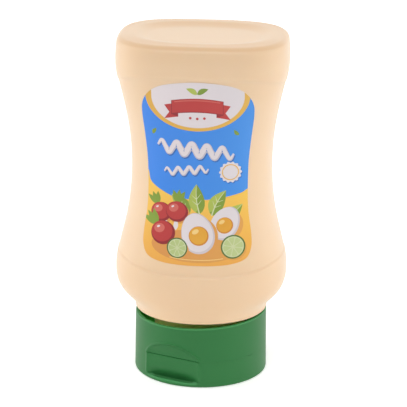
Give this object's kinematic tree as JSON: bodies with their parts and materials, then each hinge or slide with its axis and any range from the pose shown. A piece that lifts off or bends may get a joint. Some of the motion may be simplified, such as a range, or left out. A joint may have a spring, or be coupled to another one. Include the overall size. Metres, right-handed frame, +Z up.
{
  "type": "mayonnaise squeeze bottle",
  "caption": "Opaque oval squeeze bottle of mayonnaise with a drawn-in waist and film labels, standing upside down on its shut flip-top cap.",
  "frame": {"origin": "middle of the cap's flat foot, on the surface the bottle stands on", "axes": "+Z up from the cap's foot to the bottle's flat end; -Y towards the front label; X across the bottle's width"},
  "size_m": [0.065, 0.0508, 0.1318],
  "materials": {
    "bottle_plastic": "satin",
    "front_label_film": "satin",
    "back_label_film": "satin",
    "cap_plastic": "satin",
    "lid_plastic": "satin"
  },
  "bodies": {
    "root": {"bottle": "bottle_plastic", "label_front": "front_label_film", "label_back": "back_label_film", "closure": "cap_plastic", "flip_lid": "lid_plastic"}
  },
  "joints": []
}
